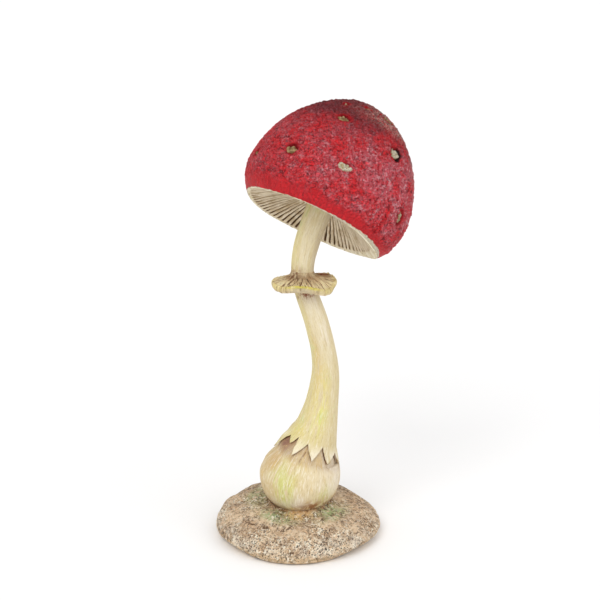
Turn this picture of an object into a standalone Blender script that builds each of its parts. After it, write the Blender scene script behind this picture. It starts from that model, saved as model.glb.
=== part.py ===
"""A fly agaric on a mound of sandy soil, a painted cast ornament 270 mm high.

The frame is +Z up, with the origin at the middle of the mound's flat underside. The cap opens towards -Y.
"""

import math
import random

import bmesh
import bpy
from mathutils import Matrix, Vector

MM = 0.001
GAP = 0.3 * MM  # between pieces that touch

# The mound of soil that everything stands in: radius and height of its side, from the foot up to the crest.
MOUND_SIDE = [(48.6, 0.0), (50.6, 1.7), (51.3, 4.4), (50.7, 7.6), (48.6, 10.7), (45.2, 13.6), (40.0, 16.7)]
MOUND_TOP = [(33.0, 19.0), (26.0, 20.5), (20.0, 21.0)]
MOUND_SIDES = 60
MOUND_SWELL = 0.7 * MM  # height of its low bumps
MOUND_LEAN = 1.2 * MM  # its top is a little higher at the back left
MOUND_LEAN_TURN = math.radians(155)

# The bulb, a ball with a short neck under the stem's skirt.
BULB_RADIUS = 24.9 * MM
BULB_MIDDLE = Vector((0.9, 0.0, 39.0)) * MM
ROUND_SIDES = 36

# The stem's middle line from the skirt's rim up to the cap, in mm: x, y, z and the radius there.
STEM_LINE = [
    (4.4, 0.0, 54.3, 21.0),
    (7.3, 0.0, 61.0, 16.8),
    (10.1, 0.0, 67.5, 13.8),
    (12.0, 0.0, 74.3, 11.9),
    (14.5, 0.0, 87.5, 9.8),
    (16.2, 0.0, 104.0, 8.4),
    (15.0, 0.0, 120.0, 7.35),
    (10.4, 0.2, 139.3, 7.1),
    (4.3, 1.2, 158.0, 6.75),
    (2.4, 3.0, 172.0, 6.7),
    (5.6, 6.0, 188.0, 7.6),
]
STEM_TOP_RADIUS = 10.6 * MM
STEM_BELOW_TOP_RADIUS = 8.4 * MM  # a little way down from the top
STEM_SPREAD_LENGTH = 8.0 * MM  # how far below the cap the stem starts to spread
STEM_STEPS = 2  # rings for each length of the middle line

# The torn skirt at the stem's foot: its edge goes through these corners, given as the turn round the stem in
# degrees from +X and the height over the rim in mm.
SKIRT_CORNERS = [
    (-165, 0.0),
    (-149, 7.8),
    (-137, 5.8),
    (-124, 10.8),
    (-119, 1.2),
    (-97, 10.8),
    (-81, 2.0),
    (-59, 11.4),
    (-48, 0.8),
    (-19, 8.8),
    (-9, 0.0),
    (12, 9.0),
    (24, 1.0),
    (45, 10.5),
    (58, 1.6),
    (80, 9.5),
    (93, 4.0),
    (106, 10.6),
    (128, 0.6),
    (146, 9.4),
    (158, 4.4),
    (180, 8.2),
]
SKIRT_WALL = 1.4 * MM
SKIRT_LENGTH = 14.0 * MM  # from the rim up to where the stem is solid
WIDEST_COLUMN = 15.0  # degrees between two columns of the stem's faces

# The ring round the stem.
RING_RADIUS = 19.2 * MM
RING_HEIGHT = 162.6 * MM  # of its edge
RING_PLEATS = 30
RING_PLEAT_DEPTH = 0.35 * MM
RING_TILT = math.tan(math.radians(6))  # higher in front
RING_WAVE = 1.0 * MM

# The cap, with its own frame: origin at the middle of its mouth, axis out through its crown.
MOUTH_CENTRE = Vector((8.6, 8.0, 198.2)) * MM
CAP_AXIS = Vector((0.447, 0.441, 0.778)).normalized()
CAP_RADIUS = 51.1 * MM
CAP_WIDEST = 18.0 * MM  # height of the widest line above the mouth
CAP_CROWN = 60.4 * MM  # height of the crown above the widest line
CAP_CROWN_POWER = 1.85
CAP_LOWER_REACH = 34.5 * MM  # half-height of the ellipse that the side follows down to the mouth
CAP_SIDES = 48
CAP_GAP = 0.4 * MM  # between the cap and the flesh that fills it

# The cream flesh and gills that line the cap.
GILLS = 72  # every second one is short
GILL_INNER = 11.8 * MM
GILL_OUTER = 40.0 * MM
GILL_RADII = [radius * MM for radius in (11.8, 17.0, 24.0, 31.5, 37.0, 40.0)]
SHORT_GILL_INNER = 22.0 * MM
GILL_DEPTH = 3.2 * MM
GILL_RIDGE = 0.6  # share of a gill's pitch that is ridge
HUB = 11.2 * MM  # radius of the flat patch that the stem meets
CEILING = 17.0 * MM  # height of that patch above the mouth
FLESH_BACK = [(41.4, -0.3), (39.4, 4.8), (32.5, 12.6), (22.5, 18.2), (11.8, 20.6)]  # radius and height, in mm
LIP = 1.1 * MM  # how far the flesh shows below the red

# The sunken warts: turn round the cap's axis in degrees, height above the mouth, width and height, in mm.
WARTS_SEEN = [
    (-155, 19, 6.5, 5.5),
    (-123, 27, 6.0, 5.0),
    (-83, 30, 7.5, 5.0),
    (-40, 10, 5.0, 4.0),
    (-27, 23, 6.0, 7.5),
    (-104, 57, 8.5, 5.0),
    (-48, 54, 6.5, 7.5),
    (-115, 69, 6.0, 4.0),
    (-60, 71, 6.5, 4.5),
]
WARTS_LOW_BEHIND = 5
WARTS_MIDDLE_BEHIND = 3
WARTS_HIGH_BEHIND = 1
WART_SEED = 11
PIT_DEPTH = 2.0 * MM
PIT_SIDES = 10


def clear_scene():
    for obj in list(bpy.data.objects):
        bpy.data.objects.remove(obj, do_unlink=True)


def collection(name):
    made = bpy.data.collections.new(name)
    bpy.context.scene.collection.children.link(made)
    return made


def material(name, colour, roughness):
    made = bpy.data.materials.new(name)
    made.use_nodes = True
    shader = made.node_tree.nodes["Principled BSDF"]
    shader.inputs["Base Color"].default_value = (*colour, 1.0)
    shader.inputs["Roughness"].default_value = roughness
    shader.inputs["Metallic"].default_value = 0.0
    return made


def finish(obj, home, finish_material):
    """Puts the object in its collection, with its material and smooth shading between its sharp edges."""
    home.objects.link(obj)
    obj.data.materials.append(finish_material)
    obj.data.shade_smooth()
    obj.data.set_sharp_from_angle(angle=math.radians(35))
    return obj


def loft(name, rings):
    """A closed body through rings of points, listed from its underside up. A ring of one point is a pole.
    A ring may hold a whole number of times as many points as the next, or the other way round."""
    mesh = bpy.data.meshes.new(name)
    bm = bmesh.new()
    rows = [[bm.verts.new(point) for point in ring] for ring in rings]
    for low, high in zip(rows, rows[1:]):
        if len(low) < len(high):
            join_rows(bm, high, low, flip=True)
        else:
            join_rows(bm, low, high, flip=False)
    bm.to_mesh(mesh)
    bm.free()
    return bpy.data.objects.new(name, mesh)


def join_rows(bm, many, few, flip):
    """Faces between a ring and another with as many points, a whole fraction of them, or one."""
    share = len(many) // len(few)
    for i in range(len(many)):
        here = many[i]
        after = many[(i + 1) % len(many)]
        near = few[i // share % len(few)]
        corners = [here, after, near]
        if len(few) > 1 and i % share == share - 1:
            corners = [here, after, few[(i // share + 1) % len(few)], near]
        bm.faces.new(reversed(corners) if flip else corners)


def turned(name, profile, steps):
    """A body turned round Z from a profile of (radius, height) that starts and ends on the axis, top first."""
    mesh = bpy.data.meshes.new(name)
    points = [(radius, 0.0, height) for radius, height in profile]
    mesh.from_pydata(points, [(i, i + 1) for i in range(len(points) - 1)], [])
    obj = bpy.data.objects.new(name, mesh)
    screw = obj.modifiers.new("turn", "SCREW")
    screw.steps = steps
    screw.render_steps = steps
    screw.use_merge_vertices = True
    screw.merge_threshold = 0.00001
    return obj


def smooth_step(low, high, value):
    share = min(1.0, max(0.0, (value - low) / (high - low)))
    return share * share * (3 - 2 * share)


def through(points, steps):
    """A smooth line through points of any number of values (Catmull-Rom), with that many steps between two."""
    ends = [mirrored(points[0], points[1]), *points, mirrored(points[-1], points[-2])]
    line = []
    for a, b, c, d in zip(ends, ends[1:], ends[2:], ends[3:]):
        for i in range(steps):
            line.append(tuple(blended(*values, i / steps) for values in zip(a, b, c, d)))
    return [*line, tuple(points[-1])]


def mirrored(end, inner):
    return tuple(2 * e - i for e, i in zip(end, inner))


def blended(a, b, c, d, t):
    return b + 0.5 * t * (c - a + t * (2 * a - 5 * b + 4 * c - d + t * (3 * (b - c) + d - a)))


def cap_matrix():
    """Carries the cap's own frame into the part's."""
    across = (Vector((1, 0, 0)) - CAP_AXIS * CAP_AXIS.x).normalized()
    turn = Matrix((across, CAP_AXIS.cross(across), CAP_AXIS)).transposed()
    return Matrix.Translation(MOUTH_CENTRE) @ turn.to_4x4()


def stem_line():
    """The stem's middle line up to the cap's flesh, as (x, y, z, radius) in metres."""
    top = MOUTH_CENTRE + CAP_AXIS * CEILING
    below = top - CAP_AXIS * STEM_SPREAD_LENGTH
    ends = [(*below, STEM_BELOW_TOP_RADIUS), (*top, STEM_TOP_RADIUS)]
    return [*(tuple(value * MM for value in point) for point in STEM_LINE), *ends]


def directions(line):
    """The way that a line of points runs, at each of them."""
    places = [Vector(point[:3]) for point in line]
    ways = [after - before for before, after in zip(places, places[2:])]
    return [way.normalized() for way in (places[1] - places[0], *ways, places[-1] - places[-2])]


def section(centre, way, radius, angles):
    """Points of a circle round a line, square to it, at these angles from the +X side."""
    across = (Vector((1, 0, 0)) - way * way.x).normalized()
    other = way.cross(across)
    return [centre + (across * math.cos(a) + other * math.sin(a)) * radius for a in angles]


def even(sides):
    return [math.tau * i / sides for i in range(sides)]


def skirt_place(rise, inset):
    """Centre, direction and radius of the stem this far above the skirt's rim, measured along its middle line."""
    line = through(stem_line(), 12)
    ways = directions(line)
    gone = 0.0
    for here, after, way in zip(line, line[1:], ways):
        length = (Vector(after[:3]) - Vector(here[:3])).length
        if gone + length >= rise:
            share = (rise - gone) / length
            centre = Vector(here[:3]).lerp(Vector(after[:3]), share)
            return centre, way, here[3] + (after[3] - here[3]) * share - inset
        gone += length


def mound_edge(angle):
    """The mound's outline is not quite round: its share of the full radius at this angle."""
    return 0.985 + 0.010 * math.cos(2 * angle + 0.4) + 0.012 * math.cos(angle - 2.6) + 0.006 * math.cos(3 * angle)


def mound_bump(x, y):
    """Low swells of the soil."""
    x, y = x / MM, y / MM
    swell = math.sin(0.16 * x + 1.3) * math.cos(0.13 * y - 0.4) + 0.6 * math.sin(0.31 * y + 0.22 * x)
    return MOUND_SWELL * swell


def build_mound(home):
    """Sandy soil with a flat underside, a rounded side and a dish that the bulb sits in."""
    crest = MOUND_TOP[-1][0] * MM
    crown = MOUND_TOP[-1][1] * MM
    rings = [[Vector((0, 0, 0))]]
    for radius, height in [*MOUND_SIDE, *MOUND_TOP]:
        ring = []
        for angle in even(MOUND_SIDES):
            spread = 1 + (mound_edge(angle) - 1) * smooth_step(crest, MOUND_SIDE[2][0] * MM, radius * MM)
            x, y = radius * MM * spread * math.cos(angle), radius * MM * spread * math.sin(angle)
            rise = smooth_step(4.4, 12.0, height) * smooth_step(crest, crest + 6 * MM, radius * MM)
            lean = MOUND_LEAN * math.cos(angle - MOUND_LEAN_TURN)
            ring.append(Vector((x, y, height * MM + rise * (lean + mound_bump(x, y)))))
        rings.append(ring)
    up = Vector((0, 0, 1))
    dish = BULB_RADIUS + GAP
    bottom = BULB_MIDDLE - up * dish
    for share in (0.97, 0.6, 0.25):
        level = share * (crown - bottom.z)
        radius = math.sqrt(dish**2 - (dish - level) ** 2)
        rings.append(section(bottom + up * level, up, radius, even(MOUND_SIDES)))
    rings.append([bottom - up * 0.1 * MM])
    return finish(loft("soil_mound", rings), home, material("sandy_soil", (0.50, 0.39, 0.26), 0.95))


def build_bulb(home):
    """The swollen foot of the stem: a ball that leans into a short neck inside the skirt."""
    up = Vector((0, 0, 1))
    axis = (skirt_place(0.0, 0.0)[0] - BULB_MIDDLE).normalized()
    rings = [[BULB_MIDDLE - up * BULB_RADIUS]]
    for level in (-0.93, -0.80, -0.63, -0.43, -0.22, 0.0, 0.22, 0.40):
        way = up.lerp(axis, smooth_step(-0.7, 0.5, level)).normalized()
        radius = BULB_RADIUS * math.sqrt(1 - level**2)
        rings.append(section(BULB_MIDDLE + way * level * BULB_RADIUS, way, radius, even(ROUND_SIDES)))
    for share in (0.0, 0.25, 0.55, 1.0):
        centre, way, radius = skirt_place(share * (SKIRT_LENGTH - 2 * GAP), SKIRT_WALL + 2 * GAP)
        rings.append(section(centre, way, radius, even(ROUND_SIDES)))
    rings.append([centre])
    return finish(loft("bulb", rings), home, material("cream_bulb", (0.72, 0.62, 0.40), 0.6))


def skirt_columns():
    """The corners of the skirt's edge as (angle, height), with one more between two that lie far apart."""
    columns = []
    after = [*SKIRT_CORNERS[1:], (SKIRT_CORNERS[0][0] + 360, SKIRT_CORNERS[0][1])]
    for (turn, rise), (next_turn, next_rise) in zip(SKIRT_CORNERS, after):
        columns.append((turn, rise))
        if next_turn - turn > WIDEST_COLUMN:
            columns.append(((turn + next_turn) / 2, (rise + next_rise) / 2))
    return [(math.radians(turn), rise * MM) for turn, rise in columns]


def build_stem(home):
    """One bent stem, from the torn skirt over the bulb to the spread where it meets the flesh."""
    columns = skirt_columns()
    angles = [angle for angle, _ in columns]

    def skirt_ring(share, inset):
        ring = []
        for angle, rise in columns:
            centre, way, radius = skirt_place(rise + share * (SKIRT_LENGTH - rise), inset)
            ring += section(centre, way, radius, [angle])
        return ring

    rings = [[skirt_place(SKIRT_LENGTH, 0.0)[0]]]
    rings += [skirt_ring(share, SKIRT_WALL) for share in (1.0, 0.5, 0.0)]
    rings += [skirt_ring(share, 0.0) for share in (0.0, 0.4, 0.75)]
    line = through(stem_line(), STEM_STEPS)
    ways = [*directions(line)[:-1], CAP_AXIS]
    foot = Vector(line[0][:3])
    for point, way in zip(line, ways):
        if (Vector(point[:3]) - foot).length > SKIRT_LENGTH:
            rings.append(section(Vector(point[:3]), way, point[3], angles))
    rings.append([Vector(line[-1][:3])])
    return finish(loft("stem", rings), home, material("cream_stem", (0.76, 0.68, 0.46), 0.55))


def stem_at(height):
    """The stem's middle and radius where it passes this height."""
    line = through(stem_line(), 12)
    for here, after in zip(line, line[1:]):
        if here[2] <= height <= after[2]:
            share = (height - here[2]) / (after[2] - here[2])
            return [a + (b - a) * share for a, b in zip(here, after)]


def ring_wave(angle):
    """How the ring's edge rises and falls on its way round, as a share of its full wave."""
    return 1.2 * (0.5 + 0.5 * math.cos(angle)) * math.sin(2 * angle) + 0.5 * math.sin(3 * angle)


def build_ring(home):
    """The collar left by the veil: it slopes out from the stem, pleated on top, with a thick waved edge."""
    middle = stem_at(RING_HEIGHT)
    outline = [  # distance from the stem as a share, height over the edge in mm, share of the pleats
        (0.0, -3.8, 0.0),
        (0.5, -3.3, 0.0),
        (0.93, -2.9, 0.4),
        (1.0, -0.9, 0.7),
        (0.96, 1.1, 1.0),
        (0.68, 2.0, 1.0),
        (0.32, 3.2, 0.8),
        (0.0, 4.8, 0.0),
    ]
    rings = []
    for reach, rise, pleats in outline:
        x, y, _, radius = stem_at(RING_HEIGHT + rise * MM)
        inner = radius + 2 * GAP
        ring = []
        for i, angle in enumerate(even(2 * RING_PLEATS)):
            out = RING_RADIUS * (1 + 0.02 * math.sin(4 * angle + 0.6) + 0.012 * math.sin(9 * angle))
            distance = inner + reach * (out - inner)
            across, along = distance * math.cos(angle), distance * math.sin(angle)
            pleat = RING_PLEAT_DEPTH * pleats * (1 if i % 2 else -1)
            height = RING_HEIGHT + rise * MM + pleat + RING_WAVE * ring_wave(angle) * reach**2 - RING_TILT * along
            ring.append(Vector((x + (middle[0] - x) * reach + across, y + (middle[1] - y) * reach + along, height)))
        rings.append(ring)
    return finish(closed_band("ring", rings), home, material("cream_ring", (0.66, 0.53, 0.30), 0.65))


def closed_band(name, rings):
    """A body through rings of points that ends where it starts, such as a collar."""
    mesh = bpy.data.meshes.new(name)
    bm = bmesh.new()
    rows = [[bm.verts.new(point) for point in ring] for ring in rings]
    for low, high in zip(rows, [*rows[1:], rows[0]]):
        join_rows(bm, low, high, flip=False)
    bm.to_mesh(mesh)
    bm.free()
    return bpy.data.objects.new(name, mesh)


def gill_edge_height(radius):
    """Height above the mouth of the gills' free edges."""
    share = (radius - GILL_INNER) / (GILL_OUTER - GILL_INNER)
    return 0.9 * MM + (CEILING - 2.4 * MM) * (1 - share**1.2)


def gill_depth(radius, inner):
    """How deep the slots are between gills that start at this inner radius."""
    return GILL_DEPTH * smooth_step(inner - 3 * MM, inner + 6 * MM, radius) * (1 - smooth_step(31 * MM, GILL_OUTER, radius))


def build_gills(home):
    """The cream flesh that lines the cap, with gills raised from it and a lip round the mouth."""
    rings = [[Vector((0, 0, CEILING + GAP))], circle(HUB, CEILING + GAP, GILLS)]
    for radius in GILL_RADII:
        ring = []
        for i, angle in enumerate(gill_angles()):
            gill, point = divmod(i, 3)
            floor = gill_edge_height(radius) + gill_depth(radius, GILL_INNER)
            edge = floor - gill_depth(radius, SHORT_GILL_INNER if gill % 2 else GILL_INNER)
            ring.append(Vector((radius * math.cos(angle), radius * math.sin(angle), edge if point else floor)))
        rings.append(ring)
    mouth = cap_radius(0.0)
    lip = [(mouth - 2.4 * MM, -0.5 * MM), (mouth - 1.2 * MM, -LIP), (mouth - 0.1 * MM, -0.7 * MM)]
    rings += [circle(radius, height, GILLS) for radius, height in lip]
    back = [(radius * MM, height * MM) for radius, height in FLESH_BACK]
    rings += [circle(radius, height, GILLS // 2) for radius, height in back]
    rings.append([Vector((0, 0, back[-1][1]))])
    obj = finish(loft("gills", rings), home, material("cream_gills", (0.70, 0.60, 0.42), 0.7))
    obj.matrix_world = cap_matrix()
    return obj


def gill_angles():
    """For each gill, the middle of the slot before it and its ridge's two edges."""
    pitch = math.tau / GILLS
    return [
        pitch * (gill + place)
        for gill in range(GILLS)
        for place in (0.0, 0.5 - GILL_RIDGE / 2, 0.5 + GILL_RIDGE / 2)
    ]


def circle(radius, height, sides):
    return section(Vector((0, 0, height)), Vector((0, 0, 1)), radius, even(sides))


def cap_radius(height):
    """The cap's outer radius at this height above its mouth."""
    rise = height - CAP_WIDEST
    if rise < 0:
        return CAP_RADIUS * math.sqrt(1 - (rise / CAP_LOWER_REACH) ** 2)
    share = min(1.0, rise / CAP_CROWN)
    return CAP_RADIUS * (1 - share**CAP_CROWN_POWER) ** (1 / CAP_CROWN_POWER)


def warts():
    """Every sunken wart as (turn, height, width, tallness), those seen in front first."""
    draw = random.Random(WART_SEED)
    found = list(WARTS_SEEN)
    for count, height in ((WARTS_LOW_BEHIND, 24), (WARTS_MIDDLE_BEHIND, 54), (WARTS_HIGH_BEHIND, 70)):
        for i in range(count):
            turn = 8 + (180 - 16) * (i + 0.5) / count + draw.uniform(-5, 5)
            found.append((turn, height + draw.uniform(-5, 5), draw.uniform(6, 8), draw.uniform(4.5, 6)))
    return found


def wart_matrix(turn, height):
    """A frame on the cap's surface: X round the cap, Y up it, Z straight out."""
    angle = math.radians(turn)
    step = 0.5 * MM
    rise = Vector((cap_radius(height + step) - cap_radius(height - step), 0, 2 * step)).normalized()
    up = Vector((rise.x * math.cos(angle), rise.x * math.sin(angle), rise.z))
    around = Vector((-math.sin(angle), math.cos(angle), 0))
    radius = cap_radius(height)
    place = Vector((radius * math.cos(angle), radius * math.sin(angle), height))
    return Matrix.Translation(place) @ Matrix((around, up, around.cross(up))).transposed().to_4x4()


def ellipsoid(name, size, where, sides):
    """A mesh object of an ellipsoid with these half-sizes, in a frame."""
    mesh = bpy.data.meshes.new(name)
    bm = bmesh.new()
    bmesh.ops.create_uvsphere(bm, u_segments=sides, v_segments=sides // 2 + 1, radius=1.0)
    bm.to_mesh(mesh)
    bm.free()
    mesh.transform(where @ Matrix.Diagonal((*size, 1.0)))
    return bpy.data.objects.new(name, mesh)


def build_cap(home):
    """The red dome, hollowed underneath for the flesh, with a sunken wart in each of its pits."""
    upper = [CAP_WIDEST + CAP_CROWN * math.cos(math.radians(degrees)) for degrees in range(9, 91, 9)]
    profile = [(0.0, CAP_WIDEST + CAP_CROWN)]
    profile += [(cap_radius(height), height) for height in (*upper, CAP_WIDEST * 0.6, CAP_WIDEST * 0.25, 0.0)]
    hollow = [(radius * MM + CAP_GAP, height * MM + CAP_GAP) for radius, height in FLESH_BACK]
    profile += [(hollow[0][0], 0.0), *hollow[1:], (0.0, hollow[-1][1])]
    cap = finish(turned("cap", profile, CAP_SIDES), home, material("red_cap", (0.45, 0.03, 0.03), 0.6))
    pits = collection("pits")
    lumps = collection("wart_lumps")
    for i, (turn, height, width, tall) in enumerate(warts()):
        where = wart_matrix(turn, height * MM)
        half = Vector((width / 2 * MM, tall / 2 * MM, PIT_DEPTH))
        pits.objects.link(ellipsoid(f"pit_{i}", half, where, PIT_SIDES))
        sunk = where @ Matrix.Translation((0, -0.1 * half.y, -PIT_DEPTH))
        lumps.objects.link(ellipsoid(f"lump_{i}", (0.62 * half.x, 0.6 * half.y, 1.2 * MM), sunk, PIT_SIDES - 2))
    for name, helper, operation in (("cut_pits", pits, "DIFFERENCE"), ("add_lumps", lumps, "UNION")):
        for obj in helper.objects:
            obj.hide_render = True
            obj.display_type = "WIRE"
        boolean = cap.modifiers.new(name, "BOOLEAN")
        boolean.operation = operation
        boolean.operand_type = "COLLECTION"
        boolean.collection = helper
        boolean.solver = "EXACT"
    for obj in (cap, *pits.objects, *lumps.objects):
        obj.matrix_world = cap_matrix()
    return cap


def main():
    clear_scene()
    home = collection("fly_agaric")
    build_mound(home)
    build_bulb(home)
    build_stem(home)
    build_ring(home)
    build_gills(home)
    build_cap(home)


main()
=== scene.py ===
"""A painted, cast fly agaric on a mound of soil, dressed over its CAD frame."""

import math

import bpy
import numpy as np
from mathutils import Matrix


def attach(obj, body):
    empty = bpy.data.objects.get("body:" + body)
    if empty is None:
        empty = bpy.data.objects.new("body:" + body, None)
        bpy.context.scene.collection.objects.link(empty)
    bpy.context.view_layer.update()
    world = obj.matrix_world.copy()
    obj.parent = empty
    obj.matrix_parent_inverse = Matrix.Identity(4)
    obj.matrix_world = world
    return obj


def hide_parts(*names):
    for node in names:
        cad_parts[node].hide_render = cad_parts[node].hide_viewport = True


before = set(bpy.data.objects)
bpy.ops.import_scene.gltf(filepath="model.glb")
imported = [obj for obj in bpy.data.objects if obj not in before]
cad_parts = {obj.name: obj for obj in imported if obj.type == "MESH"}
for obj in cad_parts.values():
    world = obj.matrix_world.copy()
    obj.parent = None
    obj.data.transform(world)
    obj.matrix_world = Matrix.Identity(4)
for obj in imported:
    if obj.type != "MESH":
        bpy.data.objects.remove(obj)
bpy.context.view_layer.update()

# Soil mound
# A round foot of cast resin that looks like sandy soil, with pores, crumbs and a wash of moss green round
# the bulb. It is cast in an open mould, so its underside is flat, and it is dry-brushed with white.

MM = 0.001
TURN = 2 * math.pi
MOUND_SIDE = [(0.0, 0.0), (48.6, 0.0), (50.6, 1.7), (51.3, 4.4), (50.7, 7.6), (48.6, 10.7), (45.2, 13.6)]
MOUND_TOP = [(40.0, 16.7), (33.0, 19.0), (26.0, 20.5), (20.0, 21.0)]
MOUND_DISH = [(17.5, 21.0), (15.0, 19.5), (9.0, 15.8), (0.4, 14.0)]
FILLET_RADIUS = 18.6  # of the low swell of soil round the bulb's foot
SEAM_HEIGHT = 2.9  # of a faint groove round the side
SEAM_WIDTH = 0.45
SEAM_DEPTH = 0.15
PORE_SPACING = 1.35
PORE_DEPTH = 0.6
CLOD_LIFT = 0.6
GRAIN_LIFT = 0.42
PROUDEST_GRAIN = 0.95
UNDERSIDE_REACH = 45.0  # the flat underside has few rows out to here
MOUND_COLUMNS = 640
MOUND_ROW_GAP = 0.5
MOUND_SWELL = 0.7
MOUND_LEAN = 1.2
MOUND_LEAN_TURN = math.radians(155)


class Value:
    """A socket in a material, so that shader maths reads as sums."""

    def __init__(self, finish, socket):
        self.finish = finish
        self.socket = socket

    def maths(self, operation, *values):
        return self.finish.node("ShaderNodeMath", {"operation": operation}, dict(enumerate(values)))

    def __add__(self, other):
        return self.maths("ADD", self, other)

    def __radd__(self, other):
        return self.maths("ADD", other, self)

    def __sub__(self, other):
        return self.maths("SUBTRACT", self, other)

    def __rsub__(self, other):
        return self.maths("SUBTRACT", other, self)

    def __mul__(self, other):
        return self.maths("MULTIPLY", self, other)

    def __rmul__(self, other):
        return self.maths("MULTIPLY", other, self)

    def __abs__(self):
        return self.maths("ABSOLUTE", self)

    def or_more(self, other):
        """The higher of the two."""
        return self.maths("MAXIMUM", self, other)

    def above(self, low, high):
        """0 below low, 1 above high and smooth between them; high may be the lower."""
        places = {0: self, 1: low, 2: high, 3: 0.0, 4: 1.0}
        return self.finish.node("ShaderNodeMapRange", {"interpolation_type": "SMOOTHSTEP"}, places)


class Finish:
    """A painted finish: a material, the nodes that make it and the paint on it so far."""

    def __init__(self, name, first):
        self.material = bpy.data.materials.new(name)
        self.material.use_nodes = True
        self.nodes = self.material.node_tree.nodes
        self.links = self.material.node_tree.links
        self.shader = self.nodes["Principled BSDF"]
        self.paint = colour(*first)

    def set(self, socket, value):
        if isinstance(value, Value):
            self.links.new(value.socket, socket)
        else:
            socket.default_value = value

    def node(self, kind, settings, places, output=0):
        """A node of this kind, its settings first, then the values or links of its sockets."""
        made = self.nodes.new(kind)
        for name, value in settings.items():
            setattr(made, name, value)
        for place, value in places.items():
            self.set(made.inputs[place], value)
        return Value(self, made.outputs[output])

    def here(self):
        """The place on the piece, in metres."""
        return self.node("ShaderNodeTexCoord", {}, {}, "Object")

    def carried(self, name, output="Fac"):
        """A number or vector that the mesh carries."""
        return self.node("ShaderNodeAttribute", {"attribute_name": name}, {}, output)

    def noise(self, vector, size, detail=3.0, rough=0.55, twist=0.0):
        """Soft noise whose blotches are this many mm across."""
        places = {"Vector": vector, "Scale": 1 / (size * MM), "Detail": detail}
        return self.node("ShaderNodeTexNoise", {}, {**places, "Roughness": rough, "Distortion": twist})

    def cells(self, vector, size):
        """Distance to the nearest of many points this many mm apart, as a share of that spacing."""
        places = {"Vector": vector, "Scale": 1 / (size * MM)}
        return self.node("ShaderNodeTexVoronoi", {}, places, "Distance")

    def layer(self, under, over, cover):
        """Two colours mixed, the second showing where cover is 1."""
        return self.node("ShaderNodeMix", {"data_type": "RGBA"}, {0: cover, 6: under, 7: over}, 2)

    def coat(self, over, cover):
        """One more coat on the paint so far: a colour as it is seen, or a mix that is ready."""
        if not isinstance(over, Value):
            over = colour(*over)
        self.paint = self.layer(self.paint, over, cover)

    def relief(self, height, depth, under=None):
        """A bump of this many mm for each unit of height."""
        places = {"Height": height, "Distance": depth * MM}
        if under:
            places["Normal"] = under
        return self.node("ShaderNodeBump", {}, places)

    def done(self, roughness, normal=None, shine=0.5):
        """The material, with its paint, roughness and bump joined to the shader."""
        self.set(self.shader.inputs["Base Color"], self.paint)
        self.set(self.shader.inputs["Roughness"], roughness)
        if normal:
            self.set(self.shader.inputs["Normal"], normal)
        self.shader.inputs["Specular IOR Level"].default_value = shine
        return self.material


def colour(red, green, blue):
    """A paint as it is seen, from 0 to 255, turned into light."""
    seen = np.array((red, green, blue)) / 255
    light = np.where(seen <= 0.04045, seen / 12.92, ((seen + 0.055) / 1.055) ** 2.4)
    return (*(float(value) for value in light), 1.0)


def rising(low, high, value):
    """0 where the value is low, 1 where it is high and smooth between; high may be the lower."""
    share = np.clip((value - low) / (high - low), 0, 1)
    return share * share * (3 - 2 * share)


def scatter(cell, seed):
    """A fixed random number from 0 to 1 for each cell of a lattice."""
    x, y, z = (cell[..., i].astype(np.int64) for i in range(3))
    mixed = (x * 73856093 ^ y * 19349663 ^ z * 83492791 ^ seed * 2654435761) & 0xFFFFFFFF
    mixed = ((mixed ^ (mixed >> 15)) * 2246822519) & 0xFFFFFFFF
    mixed = ((mixed ^ (mixed >> 13)) * 3266489917) & 0xFFFFFFFF
    return ((mixed ^ (mixed >> 16)) & 0xFFFFFF) / 0xFFFFFF


def lumps(points, size, seed):
    """Soft random lumps this many mm apart, from about -1 to 1, at an array of points."""
    place = points / size
    low = np.floor(place)
    share = place - low
    share = share * share * share * (share * (share * 6 - 15) + 10)
    total = 0
    for corner in np.ndindex(2, 2, 2):
        corner = np.array(corner)
        weight = np.prod(np.where(corner == 1, share, 1 - share), axis=-1)
        total = total + weight * scatter(low + corner, seed)
    return 2 * total - 1


def nearest_spot(points, size, seed):
    """How many mm each point is from the nearest of many random spots this many mm apart."""
    place = points / size
    low = np.floor(place)
    nearest = np.full(points.shape[:-1], 9.0)
    for corner in np.ndindex(3, 3, 3):
        cell = low + np.array(corner) - 1
        spot = cell + np.stack([scatter(cell, seed + i) for i in range(3)], axis=-1)
        nearest = np.minimum(nearest, np.linalg.norm(place - spot, axis=-1))
    return nearest * size


def skin(name, points, finish, node, carried):
    """A closed piece from rows of points in mm. Each row is a closed loop, and the end rows close it."""
    rows, columns = points.shape[:2]
    here = np.arange(rows * columns).reshape(rows, columns)
    after = np.roll(here, -1, axis=1)
    faces = np.stack([here[:-1], after[:-1], after[1:], here[1:]], axis=-1).reshape(-1, 4)
    mesh = bpy.data.meshes.new(name)
    ends = [here[0][::-1].tolist(), here[-1].tolist()]
    mesh.from_pydata((points.reshape(-1, 3) * MM).tolist(), [], faces.tolist() + ends)
    for label, values in carried.items():
        kind = "FLOAT_VECTOR" if values.ndim == 3 else "FLOAT"
        store = mesh.attributes.new(label, kind, "POINT")
        store.data.foreach_set("vector" if values.ndim == 3 else "value", values.astype(np.float32).ravel())
    mesh.materials.append(finish)
    mesh.shade_smooth()
    mesh.update()
    piece = bpy.data.objects.new(name, mesh)
    bpy.context.scene.collection.objects.link(piece)
    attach(piece, "root")
    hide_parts(node)


def profile(corners, spacing):
    """Points this many mm apart along a line through corners of (radius, height), as two arrays."""
    teeth_shadow_line = np.array(corners, dtype=float)
    gone = np.concatenate([[0], np.cumsum(np.linalg.norm(np.diff(teeth_shadow_line, axis=0), axis=1))])
    steps = np.linspace(0, gone[-1], int(gone[-1] / spacing) + 2)
    return np.interp(steps, gone, teeth_shadow_line[:, 0]), np.interp(steps, gone, teeth_shadow_line[:, 1])


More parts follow.
